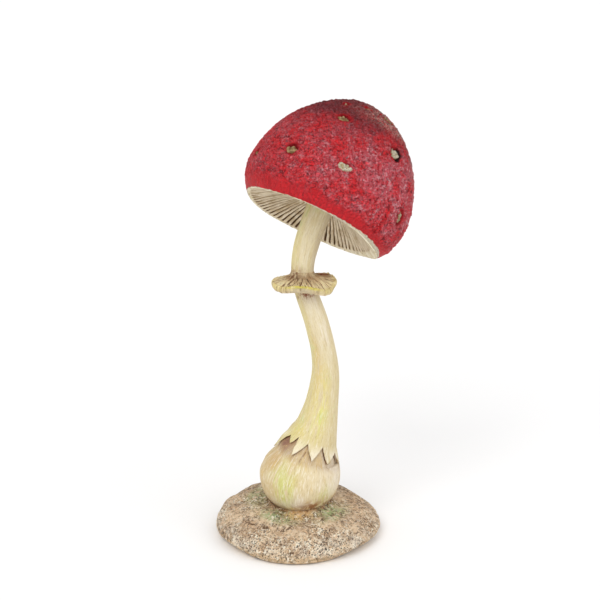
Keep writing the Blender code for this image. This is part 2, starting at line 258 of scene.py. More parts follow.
def rounded(values, width):
    """The same numbers with their corners rounded over so many steps."""
    kernel = np.hanning(width + 2)[1:-1]
    padded = np.pad(values, width // 2, mode="edge")
    return np.convolve(padded, kernel / kernel.sum(), mode="valid")[: len(values)]


def hump(value, middle, width):
    """1 where the value is middle, falling smoothly to 0 over about two widths."""
    return np.exp(-(((value - middle) / width) ** 2))


def past(turn, middle):
    """How many degrees a turn is past the middle one, from -180 to 180."""
    return (np.degrees(turn) - middle + 180) % 360 - 180


def bell(turn, middle, width):
    """A hump round a turn of so many degrees."""
    return hump(past(turn, middle), 0, width)


def around(radius, turn, height):
    """Points this far from an upright axis, at this turn and height, from numbers and arrays."""
    return np.stack(np.broadcast_arrays(radius * np.cos(turn), radius * np.sin(turn), height), axis=-1)


def whole_turn(steps):
    """This many angles round a whole turn, as one row."""
    return np.linspace(0, TURN, steps, endpoint=False)[None, :]


turn = whole_turn(MOUND_COLUMNS)
radius, height = profile([*MOUND_SIDE, *MOUND_TOP, *MOUND_DISH], MOUND_ROW_GAP)
start = np.argmax(radius > UNDERSIDE_REACH)
radius = np.concatenate([radius[:start:12], rounded(radius[start:], 7)])[:, None]
height = np.concatenate([height[:start:12], rounded(height[start:], 7)])[:, None]
edge = 0.985 + 0.010 * np.cos(2 * turn + 0.4) + 0.012 * np.cos(turn - 2.6) + 0.006 * np.cos(3 * turn)
spread = 1 + (edge - 1) * rising(20, 51, radius)
tucked = 0.095 * bell(turn, 322, 30) + 0.080 * bell(turn, 215, 24)
spread = spread * (1 - tucked * rising(6.5, 0.5, height) * rising(30, 48, radius))
x = radius * spread * np.cos(turn)
y = radius * spread * np.sin(turn)
free = rising(4.4, 12.0, height) * rising(20, 26, radius)
swell = np.sin(0.16 * x + 1.3) * np.cos(0.13 * y - 0.4) + 0.6 * np.sin(0.31 * y + 0.22 * x)
z = height + hump(radius, FILLET_RADIUS, 2.6)
z = z + free * (MOUND_LEAN * np.cos(turn - MOUND_LEAN_TURN) + MOUND_SWELL * swell)
ground = around(radius * spread, turn, z)
loose = rising(0.2, 1.8, z) * rising(17, 20, radius)
upward = np.array((0, 0, 1.0))
out = around(1, turn, 0 * z) * rising(14, 3, z)[..., None] + upward * rising(2, 12, z)[..., None]
clods = 0.5 * lumps(ground, 9, 3) + 0.5 * lumps(ground, 4.2, 4)
grains = 0.35 * lumps(ground, 2.1, 5) + 0.65 * lumps(ground, 1.05, 6)
near_pore = nearest_spot(ground + 0.3 * grains[..., None], PORE_SPACING, 7)
patchy = lumps(ground, 12, 9) + 0.5 * lumps(ground, 5, 10)
left_lump = np.exp(-(((x + 31) / 6) ** 2) - (((y + 10) / 6) ** 2))
porous = np.maximum(rising(17, 13, z) * rising(-0.9, -0.2, patchy), rising(0.1, 0.5, patchy))
porous = np.clip(porous * rising(0.6, 2.6, z) + left_lump, 0, 1)
pores = (1 - rising(0.24, 0.52, near_pore)) * porous * loose
seam = hump(z - SEAM_HEIGHT - 0.5 * lumps(ground, 16, 12), 0, SEAM_WIDTH) * (radius > UNDERSIDE_REACH)
shift = loose * (CLOD_LIFT * clods + GRAIN_LIFT * grains * (0.45 + 0.55 * porous) + 0.9 * left_lump)
shift = shift - PORE_DEPTH * pores - SEAM_DEPTH * seam
ground = ground + out * np.minimum(shift, PROUDEST_GRAIN)[..., None]
ground[..., 2] = np.maximum(ground[..., 2], 0)

soil = Finish("painted_sandy_soil", (229, 200, 165))
here = soil.here()
pore = soil.carried("pore")
grain_share = soil.carried("grain")
porous_share = soil.carried("porous")
patch = soil.noise(here, 10, 3, 0.55)
mottle = soil.noise(here, 1.7, 4, 0.7, 0.4)
grit = soil.noise(here, 0.7, 3, 0.7)
speck = soil.noise(here, 1.5, 2, 0.5, 0.3)
pinholes = soil.cells(here, 0.9).above(0.34, 0.24) * soil.noise(here, 3.5, 3, 0.6).above(0.40, 0.50)
soil.coat((207, 176, 143), patch.above(0.40, 0.60))
soil.coat((222, 182, 138), soil.noise(here, 6, 2, 0.5, 0.4).above(0.54, 0.68) * 0.6)
soil.coat((146, 116, 92), mottle.above(0.47, 0.38) * 0.6)
soil.coat((242, 226, 198), mottle.above(0.53, 0.61) * (0.45 + 0.35 * porous_share))
chalk = soil.carried("chalk") * soil.noise(here, 8, 3, 0.6).above(0.42, 0.60)
soil.coat((244, 235, 218), chalk * (0.4 + 0.6 * mottle) * 0.8)
soil.coat((234, 202, 160), soil.carried("low") * (0.5 + 0.6 * patch))
# Painted shade: the upper back of the mound is painted darker.
shade_mottle = (mottle * 0.5 + patch * 0.5).above(0.54, 0.44)
soil.coat((104, 80, 62), soil.carried("shade_behind") * shade_mottle * 0.8)
moss = soil.carried("moss") * (soil.noise(here, 5, 4, 0.65, 0.8) * 0.6 + speck * 0.4).above(0.42, 0.50)
soil.coat((152, 180, 122), moss * 0.8)
soil.coat((226, 186, 124), soil.carried("front_touch") * soil.noise(here, 4, 2).above(0.32, 0.52) * 0.85)
# Brown paint round the bulb's foot, darkened there as painted contact shade.
soil.coat((160, 108, 62), soil.carried("touch_paint_and_shade") * mottle.above(0.40, 0.54) * 0.7)
split = abs(soil.noise(here, 7, 4, 0.65, 1.0) - 0.5).above(0.036, 0.014) * patch.above(0.38, 0.50)
soil.coat((98, 74, 56), split * (1 - 0.6 * porous_share) * 0.9)
specked = soil.noise(here, 6, 3, 0.6).above(0.42, 0.56)
soil.coat((88, 66, 50), speck.above(0.36, 0.31) * specked * 0.85)
soil.coat((250, 238, 214), speck.above(0.64, 0.69) * specked * 0.85)
crest = (grain_share * 0.5 + grit * 0.65).above(0.62, 0.70)
soil.coat((252, 242, 222), crest * (0.35 + 0.65 * porous_share) * 0.9)
# Painted shade: the hollows between the grains are painted darker.
hollow = (grain_share * 0.45 + grit * 0.7).above(0.49, 0.41) * (0.4 + 0.35 * porous_share)
soil.coat((96, 70, 54), hollow * (1.0 - 0.5 * soil.carried("low")))
soil.coat((54, 38, 30), pore.above(0.2, 0.7).or_more(pinholes * porous_share.above(0.0, 0.9)) * 0.95)
soil.coat((170, 136, 100), soil.carried("seam") * mottle.above(0.42, 0.56) * 0.5)
rough = soil.relief(grit - 0.8 * pinholes, 0.7, soil.relief(mottle, 0.9))
soil_finish = soil.done(0.9, rough, shine=0.2)

collar = rising(36, 29, radius) * rising(17, 20, radius)
mossy = np.maximum(bell(turn, 242, 24), 0.95 * bell(turn, 322, 26))
carried = {
    "pore": pores,
    "grain": 0.5 + 0.5 * grains,
    "porous": porous,
    "low": rising(8.0, 3.5, z) * rising(42, 46, radius),
    "chalk": rising(16, 8, z) * (0.35 + 0.65 * np.maximum(bell(turn, 305, 34), bell(turn, 205, 30))),
    "shade_behind": rising(5, 35, y) * rising(6, 14, z),
    "moss": collar * np.maximum(mossy, 0.7 * bell(turn, 170, 34)),
    "front_touch": rising(27.5, 23, radius) * bell(turn, 268, 30),
    "touch_paint_and_shade": rising(22.5, 19, radius) + 0 * x,
    "seam": seam,
}
skin("sandy_soil_mound", ground, soil_finish, "soil_mound", carried)

# Stem
# One bent stem with a torn skirt over the bulb, cast with it and carved with fine upright fibres. It is
# ivory under washes of yellow, green and tan that run along it, with brown rubbed in round the ring and a
# thin brown line along the teeth's edges. Painted shade lies on its upper right side, just below the ring
# at the front and on the inner faces of the teeth.

STEM_LINE = [
    (4.4, 0.0, 54.3, 21.0),
    (7.3, 0.0, 61.0, 16.8),
    (10.1, 0.0, 67.5, 13.8),
    (12.0, 0.0, 74.3, 11.9),
    (14.5, 0.0, 87.5, 9.8),
    (16.2, 0.0, 104.0, 8.4),
    (15.0, 0.0, 120.0, 7.35),
    (10.4, 0.2, 139.3, 7.1),
    (4.3, 1.2, 158.0, 6.75),
    (2.4, 3.0, 172.0, 6.7),
    (5.6, 6.0, 188.0, 7.6),
]  # x, y, z and radius at points up its middle
SKIRT_CORNERS = [
    (-175, 0.0), (-156, 7.0), (-137.5, 4.5), (-129, 10.2), (-118, 0.5), (-101.5, 10.2),
    (-82, 2.4), (-64, 11.2), (-48.5, 2.0), (-23, 7.9), (-9, 1.2), (12, 9.0),
    (24, 1.0), (45, 10.5), (58, 1.6), (80, 9.5), (93, 4.0), (106, 10.6),
    (124, 0.6), (140, 8.6), (150, 7.4), (161, 8.6), (185, 0.0),
]  # turn in degrees, and how far up the torn edge is there
SKIRT_LENGTH = 14.0
SKIRT_WALL = 0.55
SKIRT_COLUMN = 1.3  # the widest gap between columns of points, in degrees
FIBRE_DEPTH = 0.14
CURL = 1.9  # how far the tips at the left stand out
CURL_DROP = 5.6
DEEPEST_NOTCH = 11.5
RING_RISE = 112.5  # of the ring's middle over the skirt's rim, along the stem
MOUTH_CENTRE = np.array((8.6, 8.0, 198.2))
CAP_AXIS = np.array((0.447, 0.441, 0.778))
CAP_AXIS = CAP_AXIS / np.linalg.norm(CAP_AXIS)
CEILING = 17.0  # of the cap's hollow over its mouth, along the cap's axis


def through(points, steps):
    """A smooth line through points (Catmull-Rom), with that many steps between two."""
    points = np.array(points, dtype=float)
    ends = np.vstack([2 * points[0] - points[1], points, 2 * points[-1] - points[-2]])
    t = np.linspace(0, 1, steps, endpoint=False)[None, :, None]
    a, b, c, d = (ends[i : len(ends) - 3 + i, None, :] for i in range(4))
    teeth_shadow_line = b + 0.5 * t * (c - a + t * (2 * a - 5 * b + 4 * c - d + t * (3 * (b - c) + d - a)))
    return np.vstack([teeth_shadow_line.reshape(-1, points.shape[1]), points[-1:]])


stem_top = MOUTH_CENTRE + CAP_AXIS * CEILING
below_top = stem_top - CAP_AXIS * 8.0
stem_line = through([*STEM_LINE, (*below_top, 8.4), (*stem_top, 10.6)], 40)
stem_gone = np.concatenate([[0], np.cumsum(np.linalg.norm(np.diff(stem_line[:, :3], axis=0), axis=1))])
stem_way = np.gradient(stem_line[:, :3], stem_gone, axis=0)
stem_way[-1] = CAP_AXIS
STEM_LENGTH = stem_gone[-1]


def unit(vectors):
    """The same directions with a length of 1."""
    return vectors / np.linalg.norm(vectors, axis=-1, keepdims=True)


def sideways(way, turn):
    """Directions square to a way, at these angles round it."""
    across = unit(np.array((1.0, 0, 0)) - way * way[..., :1])
    return across * np.cos(turn)[..., None] + np.cross(way, across) * np.sin(turn)[..., None]


def along_stem(rise):
    """Centre, way and radius of the stem this far up from the skirt's rim, at an array of heights."""
    centre = np.stack([np.interp(rise, stem_gone, stem_line[:, i]) for i in range(3)], axis=-1)
    way = np.stack([np.interp(rise, stem_gone, stem_way[:, i]) for i in range(3)], axis=-1)
    return centre, unit(way), np.interp(rise, stem_gone, stem_line[:, 3])


def round_stem(rise, turn, proud):
    """Points on the stem at these heights and angles, this many mm proud of its plain surface."""
    centre, way, radius = along_stem(rise)
    return centre + sideways(way, turn) * (radius + proud)[..., None]


def skirt_edge(turn):
    """How far up the skirt its torn edge runs at these angles."""
    degrees = (np.degrees(turn) + 175) % 360 - 175
    corners = np.array(SKIRT_CORNERS)
    return np.interp(degrees, corners[:, 0], corners[:, 1])


corner_turns = [a for a, _ in SKIRT_CORNERS]
columns = []
for low, high in zip(corner_turns, corner_turns[1:]):
    columns += list(np.linspace(low, high, max(4, round((high - low) / SKIRT_COLUMN)), endpoint=False))
turn = np.radians(columns)[None, :]
tear = skirt_edge(turn) + 0.3 * lumps(around(20, turn, 0), 1.5, 25)
tear = np.clip(tear, 0, DEEPEST_NOTCH)
inner_rows = np.array([1.0, 0.6, 0.3, 0.1, 0.0])[:, None]
outer_rows = np.linspace(0, 1, 34)[:, None]
upper_rows = np.linspace(SKIRT_LENGTH, STEM_LENGTH, 270)[1:, None]
rise = np.vstack([tear + inner_rows * (SKIRT_LENGTH - tear), tear + outer_rows * (SKIRT_LENGTH - tear)])
rise = np.vstack([rise, upper_rows + 0 * turn])
inside = np.zeros_like(rise)
inside[: len(inner_rows)] = 1
turn = turn + 0 * rise
grain = around(9, turn, 0.09 * rise)
fibres = 0.5 * lumps(grain, 1.5, 21) + 0.35 * lumps(grain, 0.7, 22) + 0.3 * lumps(grain, 4, 23)
from_edge = rise - tear
flare = np.exp(-from_edge / 2.6) * (rise < SKIRT_LENGTH)
thin = SKIRT_WALL * inside * rising(-1, 3, from_edge)
curl = bell(turn, 185, 13) * rising(5, 0, tear)
tips = 0.7 * rising(6, 0, tear) * (1 - bell(turn, 135, 30)) + CURL * curl
proud = FIBRE_DEPTH * fibres * rising(0, 1, from_edge) + (0.15 + tips) * flare - thin - 0.3 * inside
proud = proud + 0.25 * lumps(around(7, turn, rise), 11, 24)
proud = proud + 1.3 * bell(turn, 0, 34) * rising(20, 6, rise) * (1 - inside)
points = round_stem(rise, turn, proud)
slimmer = 3.1 * hump(points[..., 2], 66.5, 4.5) * bell(turn, 190, 42)
points[..., 0] -= slimmer * np.cos(turn)
points[..., 1] -= slimmer * np.sin(turn)
points[..., 2] -= CURL_DROP * curl * flare

ivory = Finish("streaked_ivory_stem", (226, 212, 176))
here = ivory.here()
grain_way = ivory.carried("grain", "Vector")
left = ivory.carried("left")
right = ivory.carried("right")
wide = ivory.noise(grain_way, 4200, 2, 0.5)
narrow = ivory.noise(grain_way, 1500, 4, 0.6)
hair = ivory.noise(grain_way, 420, 4, 0.7)
patch = ivory.noise(here, 14, 3, 0.6, 0.6)
ivory.coat((217, 199, 150), wide.above(0.44, 0.62) * 0.7)
ivory.coat((208, 190, 140), ivory.carried("lower") * 0.55)
streaky = (narrow * 0.6 + patch * 0.4).above(0.36, 0.56)
ivory.coat((240, 229, 212), ivory.carried("white_wash") * streaky * 0.75)
ivory.coat((238, 228, 206), ivory.carried("teeth") * narrow.above(0.38, 0.52) * 0.9)
ivory.coat((220, 190, 128), ivory.carried("tan_wash") * streaky * 0.7)
ivory.coat((228, 214, 120), ivory.carried("yellow_wash") * streaky * 0.7)
ivory.coat((204, 214, 104), ivory.carried("green_wash") * narrow.above(0.44, 0.60) * 0.55)
ivory.coat((220, 206, 132), (left * 0.6 + narrow * 0.9).above(0.66, 1.04) * 0.5)
ivory.coat((204, 206, 142), patch.above(0.54, 0.66) * narrow.above(0.42, 0.6) * (0.35 + 0.5 * left))
# Painted shade: the stem's right side, most of all above the ring, takes a darker copy of its ivory.
ivory.coat((205, 186, 154), (right * 0.6 + narrow * 0.8).above(0.62, 0.98) * 0.7)
ivory.coat((204, 182, 140), narrow.above(0.43, 0.32) * 0.5)
ivory.coat((242, 236, 220), hair.above(0.54, 0.64) * 0.55)
ivory.coat((164, 134, 94), hair.above(0.43, 0.33) * 0.5)
# Brown stain round the ring, with painted shade added just below the ring at the front.
stain = ivory.noise(here, 2.2, 4, 0.65, 0.5) * 0.6 + ivory.noise(grain_way, 700, 3) * 0.4
stain_and_shade_by_ring = ivory.carried("ring_stain_and_shade") * stain.above(0.43, 0.56)
ivory.coat((150, 92, 60), stain_and_shade_by_ring * 0.8)
ivory.coat((112, 62, 38), stain_and_shade_by_ring * stain.above(0.52, 0.62) * 0.6)
# Painted shade: the inner faces of the skirt's torn teeth are painted brown.
ivory.coat((166, 122, 84), ivory.carried("torn") * 0.85)
tooth_line = ivory.carried("tooth_line") * stain.above(0.38, 0.54)
ivory.coat((120, 80, 52), tooth_line * 0.7)


def carved(finish, narrow, hair):
    """The finish, with the relief of its fibres."""
    ridges = finish.relief(hair, 0.25, finish.relief(narrow, 0.4))
    return finish.done(0.55 + 0.2 * hair, ridges, shine=0.3)


stem_finish = carved(ivory, narrow, hair)

from_ring = rise - RING_RISE
above_ring = hump(from_ring, 6.0, 3.0) * (0.25 + 0.75 * bell(turn, 225, 42))
stain_and_shade_below_ring = hump(from_ring, -6.5, 3.0) * (0.35 + 0.95 * bell(turn, 285, 45))
low_yellow = 0.8 * bell(turn, 215, 26) * rising(26, 14, rise)
carried = {
    "grain": grain,
    "white_wash": bell(turn, 292, 28) * rising(58, 72, rise) * rising(112, 104, rise),
    "tan_wash": bell(turn, 238, 24) * hump(rise, 61, 22),
    "yellow_wash": np.maximum(bell(turn, 264, 24) * hump(rise, 36, 20), low_yellow),
    "green_wash": bell(turn, 268, 14) * hump(rise, 27, 11),
    "teeth": rising(13, 5, rise),
    "lower": rising(96, 60, rise) * (0.6 + 0.6 * rising(24, 8, rise)),
    "left": bell(turn, 195, 50),
    "right": bell(turn, 340, 45) * (0.35 + 0.65 * rising(110, 135, rise)),
    "ring_stain_and_shade": above_ring + stain_and_shade_below_ring,
    "torn": inside,
    "tooth_line": np.exp(-from_edge / 0.4) * (rise < SKIRT_LENGTH) * (1 - inside),
}
skin("ivory_stem", points, stem_finish, "stem", carried)

# Bulb
# The swollen foot of the stem, almost a ball, sunk into the soil. It is ivory with brushed patches of
# yellow and green, and brown paint is rubbed in where it meets the soil, darkened there as painted contact
# shade. Painted shade lies under the skirt's teeth, in the notches between them and at the upper left below
# the skirt.

BULB_MIDDLE = np.array((0.9, 0.0, 39.0))
BULB_RADIUS = 24.9
BULB_ROUND = (176, 58)  # the stretch of the ball that is made, in degrees down from its axis
NECK_INSET = 1.15
CRACK_HEAD = np.array((4.4, 60.0))  # of a thin crack in the paint between two teeth in front, as x and z
CRACK_FOOT = np.array((0.5, 55.4))
CRACK_WIDTH = 0.45
rim_centre, rim_way, _ = along_stem(np.array(0.0))
ball_axis = (rim_centre - BULB_MIDDLE) / np.linalg.norm(rim_centre - BULB_MIDDLE)
turn = whole_turn(360)
polar = np.radians(np.linspace(*BULB_ROUND, 190))[:, None]
level = np.cos(polar)
lean = rising(-0.7, 0.5, level)[..., None]
way = unit(upward * (1 - lean) + ball_axis * lean)
ball = BULB_MIDDLE + way * (BULB_RADIUS * level)[..., None]
ball = ball + sideways(way, turn) * (BULB_RADIUS * np.sin(polar))[..., None]
neck_rise = np.linspace(0.0, SKIRT_LENGTH - 0.6, 50)[:, None] + 0 * turn
neck = round_stem(neck_rise, turn + 0 * neck_rise, np.full(neck_rise.shape, -NECK_INSET))
points = np.concatenate([ball, neck])
under_rim = (points - rim_centre) @ rim_way
turn = turn + np.zeros((len(points), 1))
grain = around(20, turn, 0.12 * points[..., 2])
fibres = 0.5 * lumps(grain, 1.8, 31) + 0.35 * lumps(grain, 0.9, 32)
up = points[..., 2]
slimmer = 1.5 * rising(40, 48, up) + 2.5 * rising(48, 55.5, up)
slimmer = slimmer * bell(turn, 178, 50)
shift = 0.12 * fibres + 0.22 * lumps(points, 12, 33) * rising(20, 30, up)
points = points + unit(points - BULB_MIDDLE) * shift[..., None]
points[..., 0] -= slimmer * np.cos(turn)
points[..., 1] -= slimmer * np.sin(turn)
below_edge = np.clip(skirt_edge(turn) - under_rim, 0, 9)
crack_run = CRACK_FOOT - CRACK_HEAD
front_place = points[..., [0, 2]] - CRACK_HEAD
along = np.clip(front_place @ crack_run / (crack_run @ crack_run), 0, 1)
from_crack = np.linalg.norm(front_place - along[..., None] * crack_run, axis=-1)

washed = Finish("washed_ivory_bulb", (219, 201, 160))
here = washed.here()
grain_way = washed.carried("grain", "Vector")
narrow = washed.noise(grain_way, 1900, 4, 0.6)
hair = washed.noise(grain_way, 560, 4, 0.7)
blot = washed.noise(here, 13, 3, 0.55, 0.4)
washed.coat((211, 187, 140), blot.above(0.42, 0.60) * 0.8)
washed.coat((236, 224, 206), washed.carried("white") * blot.above(0.62, 0.40) * 0.8)
washed.coat((226, 194, 126), (narrow * 0.8 + blot * 0.2).above(0.52, 0.66) * 0.6)
washed.coat((198, 206, 108), washed.carried("green") * narrow.above(0.38, 0.56) * 0.62)
washed.coat((206, 170, 118), washed.carried("shade") * (narrow * 0.5 + blot * 0.5).above(0.40, 0.58) * 0.65)
washed.coat((244, 236, 220), hair.above(0.52, 0.64) * 0.65)
washed.coat((164, 136, 92), hair.above(0.44, 0.32) * 0.6)
spot = washed.noise(here, 4.5, 4, 0.65, 0.5)
foot = washed.carried("foot") * (spot * 0.7 + hair * 0.3).above(0.40, 0.54)
washed.coat((158, 106, 58), foot * 0.8)
# Brown paint where the bulb meets the soil, darkened as painted contact shade.
washed.coat((146, 100, 62), washed.carried("contact_paint_and_shade") * spot.above(0.42, 0.58) * 0.85)
# Painted shade in the notches between the skirt's teeth.
washed.coat((142, 102, 84), washed.carried("notch") * (spot * 0.6 + hair * 0.4).above(0.34, 0.50) * 0.95)
# Painted shadow under the edges of the skirt's teeth, darkest right at them.
washed.coat((156, 114, 78), washed.carried("shade_under_teeth") * 0.85)
washed.coat((92, 60, 38), washed.carried("shade_under_teeth").above(0.6, 1.0) * spot.above(0.40, 0.58) * 0.8)
washed.coat((128, 88, 56), washed.carried("crack") * spot.above(0.30, 0.50) * 0.8)
bulb_finish = carved(washed, narrow, hair)

up = points[..., 2]
green = 1.1 * bell(turn, 248, 17) * hump(up, 37, 13) + 0.6 * bell(turn, 232, 14) * hump(up, 48, 8)
green = green + 0.7 * bell(turn, 308, 14) * hump(up, 31, 8) + 0.6 * bell(turn, 90, 45) * hump(up, 38, 10)
tooth_shade = 0.8 * bell(turn, 236, 26) * rising(7, 1, below_edge)
low_white = bell(turn, 262, 30) * rising(36, 26, up)
right_white = 0.8 * bell(turn, 332, 34) * rising(26, 36, up)
# Painted shadow along the teeth's edges, fading below them.
teeth_shadow_line = hump(below_edge, 0, 0.6) + 0.4 * np.exp(-below_edge / 1.5)
carried = {
    "grain": grain,
    "green": green,
    "crack": hump(from_crack, 0, CRACK_WIDTH) * (points[..., 1] < 0),
    "white": np.maximum(low_white, right_white),
    "shade": bell(turn, 212, 30) * rising(42, 54, up) + tooth_shade,
    "foot": rising(32.5, 27, up) * (0.08 + 0.92 * bell(turn, 294, 16)),
    # painted shade in the notches between the teeth
    "notch": (0.25 + 0.75 * bell(turn, 208, 22)) * rising(-3.5, 0.5, under_rim),
    "contact_paint_and_shade": rising(28.6, 25.2, up) * (0.25 + 0.75 * bell(turn, 300, 30)),
    "shade_under_teeth": np.clip(teeth_shadow_line, 0, 1),
}
skin("washed_bulb", points, bulb_finish, "bulb", carried)

# Ring
# The collar that the veil left: a thick waved disc, pleated from the stem out, with a rounded edge. Brown
# paint lies in the pleats and yellow is brushed along the edge. Painted shade darkens its underside by the
# stem.

RING_RADIUS = 19.2
RING_HEIGHT = 162.6
RING_COLUMNS = 720
PLEAT_DEPTH = 0.6
RING_GAP = 0.03  # between the ring and the stem
RING_UNDERSIDE = -2.0  # rows of its outline lower than this belong to its underside
RING_TILT = math.tan(math.radians(6))
RING_OUTLINE = [
    (0.0, -3.8), (0.5, -3.3), (0.88, -3.0), (0.97, -2.2), (1.0, -0.9), (0.985, 0.4), (0.93, 1.1),
    (0.86, 1.0), (0.68, 1.8), (0.36, 3.0), (0.14, 4.4), (0.05, 5.8), (0.0, 7.6),
]  # the share of the way out to the edge, and the height over the middle
outline = through(RING_OUTLINE, 9)
reach = outline[:, :1]
rise = outline[:, 1:]
turn = whole_turn(RING_COLUMNS)
height = RING_HEIGHT + rise
stem_centre = np.stack([np.interp(height, stem_line[:, 2], stem_line[:, i]) for i in range(2)], axis=-1)
stem_radius = np.interp(height, stem_line[:, 2], stem_line[:, 3])
edge_centre = np.array([np.interp(RING_HEIGHT, stem_line[:, 2], stem_line[:, i]) for i in range(2)])
wave = 1.2 * (0.5 + 0.5 * np.cos(turn)) * np.sin(2 * turn) + 0.5 * np.sin(3 * turn)
fan = around(22, turn, 2.5 * reach)
pleats = 0.2 * lumps(fan, 2.6, 41) + 0.8 * lumps(fan, 0.68, 42)
in_front = bell(turn, 268, 26)
smooth_front = in_front * rising(0.6, -0.4, rise) * rising(0.8, 0.95, reach)
pleated = rising(0, 0.15, reach) * (1 - 0.9 * smooth_front) * rising(-3.4, -2.4, rise)
pleated = pleated * (1 - 0.6 * rising(0.94, 1.0, reach) * rising(0.6, -0.8, rise))
notch = lumps(fan, 5.5, 43)
waved = 1 + 0.02 * np.sin(4 * turn + 0.6) + 0.012 * np.sin(9 * turn)
outer = RING_RADIUS * waved + 0.45 * notch + 0.22 * pleats * (1 - smooth_front)
outer = outer - 0.5 * smooth_front * rising(0.9, -0.5, rise)
distance = stem_radius + RING_GAP + reach * (outer - stem_radius - RING_GAP)
centre = stem_centre + (edge_centre - stem_centre) * reach[..., None]
x = distance * np.cos(turn)
y = distance * np.sin(turn)
ridge = hump(reach, 0.95, 0.09) * rising(-0.9, -0.1, rise)
lift = wave * reach**2 - RING_TILT * y + PLEAT_DEPTH * pleats * pleated + 0.5 * ridge * bell(turn, 262, 30)
droop = 1.3 * bell(turn, 318, 20) + 0.6 * bell(turn, 226, 18)
droop = droop - 0.7 * bell(turn, 178, 26) - 0.5 * bell(turn, 25, 30)
lift = lift - droop * rising(0.45, 1.0, reach)
lift = lift + 0.9 * bell(turn, 38, 20) * rising(0.35, 0.75, reach) * rising(1.03, 0.92, reach)
lift = lift - 0.9 * bell(turn, 30, 26) * rising(0.40, 0.15, reach) * rising(0.0, 0.08, reach)
points = np.stack([centre[..., 0] + x, centre[..., 1] + y, height + lift + 0.35 * notch * reach], axis=-1)

veil = Finish("pleated_veil_ring", (236, 214, 172))
here = veil.here()
grain_way = veil.carried("grain", "Vector")
pleat = veil.carried("pleat")
pleated_share = veil.carried("pleated")
out_share = veil.carried("reach")
streak = veil.noise(grain_way, 800, 4, 0.7)
fine = veil.noise(grain_way, 560, 4, 0.75, 0.4)
cloud = veil.noise(here, 3.5, 3, 0.6)
veil.coat((220, 190, 146), cloud.above(0.42, 0.60))
veil.coat((182, 138, 100), out_share.above(0.64, 0.15) * (0.25 + 0.75 * cloud) * pleated_share * 0.65)
crumple = pleat * 0.5 + streak * 0.2 + fine * 0.3
veil.coat((112, 72, 46), crumple.above(0.455, 0.41) * pleated_share * 0.9)
veil.coat((250, 236, 190), crumple.above(0.52, 0.56) * pleated_share * out_share.above(0.15, 0.75) * 0.9)
near_stem = veil.carried("by_stem") * (cloud * 0.6 + streak * 0.4).above(0.42, 0.54)
veil.coat((122, 66, 42), near_stem * 0.85)
veil.coat((150, 84, 56), veil.carried("hollow") * cloud.above(0.30, 0.46) * 0.85)
veil.coat((228, 212, 92), veil.carried("ridge").above(0.15, 0.6) * cloud.above(0.28, 0.46) * 0.9)
veil.coat((238, 220, 146), veil.carried("rim") * fine.above(0.42, 0.54) * 0.8)
veil.coat((206, 192, 162), veil.carried("front") * cloud.above(0.30, 0.50) * 0.7)
veil.coat((138, 104, 70), veil.carried("split") * 0.7)
# Painted shade on the underside of the ring, next to the stem.
veil.coat((128, 84, 54), veil.carried("shade_beneath") * 0.8)
folds = veil.relief(fine, 0.6, veil.relief(streak, 1.0))
ring_finish = veil.done(0.65 + 0.15 * fine, folds, shine=0.25)

on_top = rise > RING_UNDERSIDE
# Darker brown on the ring's top next to the stem, strongest at the left back and the right.
near_stem_brown = 0.15 + 0.85 * bell(turn, 228, 26) + 0.5 * bell(turn, 20, 22)
carried = {
    "grain": fan,
    "pleat": 0.5 + 0.5 * pleats,
    "pleated": pleated,
    "reach": np.where(on_top, reach, 1.0) + 0 * turn,
    "ridge": ridge * bell(turn, 268, 34),
    "by_stem": near_stem_brown * rising(0.42, 0.08, reach) * on_top,
    "rim": rising(0.8, 0.95, reach) * rising(-2.6, -0.5, rise) * (1 - 0.8 * in_front),
    "front": in_front * rising(0.4, -0.6, rise) * rising(0.85, 0.97, reach),
    "split": bell(turn, 264, 1.5) * rising(0.2, -0.4, rise) * rising(-2.0, -1.2, rise),
    "hollow": bell(turn, 40, 34) * rising(0.25, 0.5, reach) * rising(0.95, 0.7, reach) * (rise > 0),
    "shade_beneath": rising(0.9, 0.4, reach) * rising(-2.0, -3.0, rise) + 0 * turn,
}
skin("pleated_ring", points, ring_finish, "ring", carried)

# Gills
# Cream flesh fills the cap's hollow and carries the gills, thin blades that run from the stem to the lip,
# every second one short. Dark brown paint lies between them, darker as painted shade on the side nearest
# the stem, and the lip round the mouth is bare cream.

GILLS = 78
GILL_COLUMNS = 14  # for each gill
GILL_INNER = 11.8
GILL_OUTER = 40.0
GILL_DEPTH = 3.2
GILL_ARCH = 14.6  # how much higher their edges run at the stem than at the lip
FLESH_EDGE = 42.3
LIP_LINE = [(42.3, 0.0), (42.7, -0.6), (43.0, -1.0), (43.3, -0.8), (43.5, -0.3), (43.4, 0.5)]
FLESH_BACK = [(42.4, 0.9), (39.8, 4.8), (32.5, 12.6), (22.5, 18.2), (11.8, 20.6), (0.5, 20.6)]
across = np.array((1.0, 0, 0)) - CAP_AXIS * CAP_AXIS[0]
across = across / np.linalg.norm(across)
cap_frame = np.stack([across, np.cross(CAP_AXIS, across), CAP_AXIS])


def in_cap(radius, turn, height):
    """Points of the cap's own frame, carried into the part's."""
    return MOUTH_CENTRE + around(radius, turn, height) @ cap_frame


def rim_lift(turn):
    """How far the cap's edge stands above or below the plane of its mouth, as it is not quite flat."""
    near = 0.9 * bell(turn, 285, 35) - 0.6 * bell(turn, 230, 20)
    return near - 1.0 * bell(turn, 335, 18) - 1.7 * bell(turn, 5, 20) - 1.6 * bell(turn, 143, 32)


